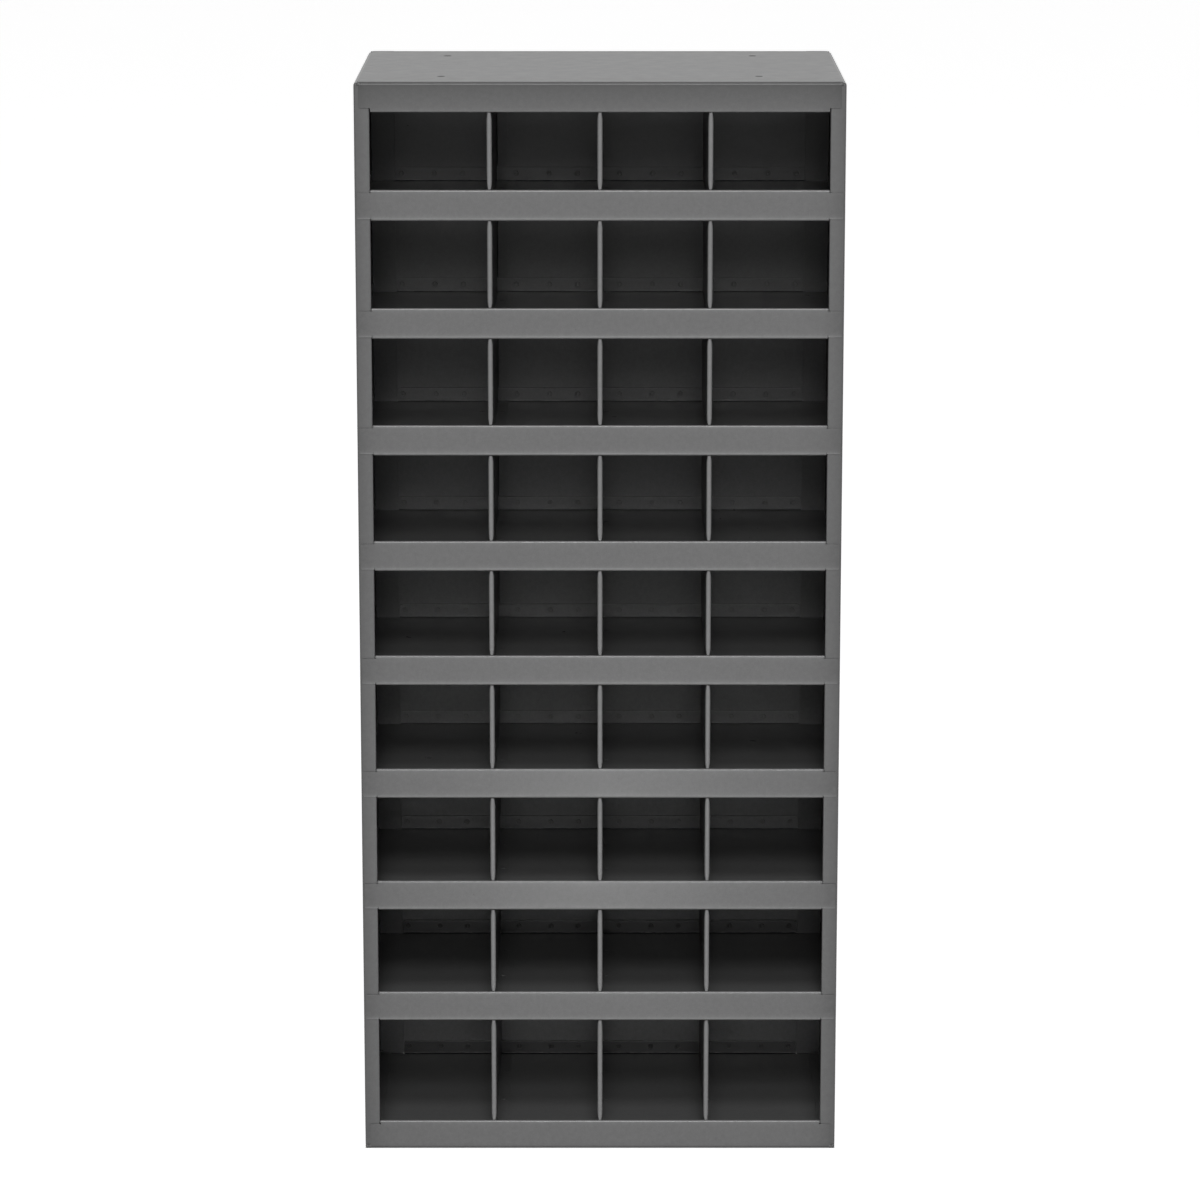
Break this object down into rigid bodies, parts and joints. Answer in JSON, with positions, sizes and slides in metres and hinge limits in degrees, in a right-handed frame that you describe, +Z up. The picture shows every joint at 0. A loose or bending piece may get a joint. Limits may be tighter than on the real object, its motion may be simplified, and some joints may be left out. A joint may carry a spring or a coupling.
{
  "type": "pigeonhole bin",
  "caption": "Upright sheet-steel pigeonhole cabinet with an open front: lipped, hemmed shelves and thin upright dividers with rolled front edges form a grid of equal compartments.",
  "frame": {"origin": "centre of the cabinet's footprint, on the floor it stands on", "axes": "+Z up the cabinet; +Y from the open front to the back panel, so the front faces -Y; +X to the right as seen from the front"},
  "size_m": [0.47, 0.3048, 1.0668],
  "materials": {
    "side_paint": "satin grey powder coat",
    "top_paint": "satin grey powder coat",
    "floor_paint": "satin grey powder coat",
    "shelf_paint": "satin grey powder coat",
    "back_paint": "satin grey powder coat",
    "divider_paint": "satin grey powder coat"
  },
  "bodies": {
    "root": {"left_side_panel": "side_paint", "right_side_panel": "side_paint", "top_panel": "top_paint", "bottom_panel": "floor_paint", "back_panel": "back_paint", "shelf_1": "shelf_paint", "shelf_2": "shelf_paint", "shelf_3": "shelf_paint", "shelf_4": "shelf_paint", "shelf_5": "shelf_paint", "shelf_6": "shelf_paint", "shelf_7": "shelf_paint", "shelf_8": "shelf_paint", "divider_1_1": "divider_paint", "divider_1_2": "divider_paint", "divider_1_3": "divider_paint", "divider_2_1": "divider_paint", "divider_2_2": "divider_paint", "divider_2_3": "divider_paint", "divider_3_1": "divider_paint", "divider_3_2": "divider_paint", "divider_3_3": "divider_paint", "divider_4_1": "divider_paint", "divider_4_2": "divider_paint", "divider_4_3": "divider_paint", "divider_5_1": "divider_paint", "divider_5_2": "divider_paint", "divider_5_3": "divider_paint", "divider_6_1": "divider_paint", "divider_6_2": "divider_paint", "divider_6_3": "divider_paint", "divider_7_1": "divider_paint", "divider_7_2": "divider_paint", "divider_7_3": "divider_paint", "divider_8_1": "divider_paint", "divider_8_2": "divider_paint", "divider_8_3": "divider_paint", "divider_9_1": "divider_paint", "divider_9_2": "divider_paint", "divider_9_3": "divider_paint"}
  },
  "joints": []
}
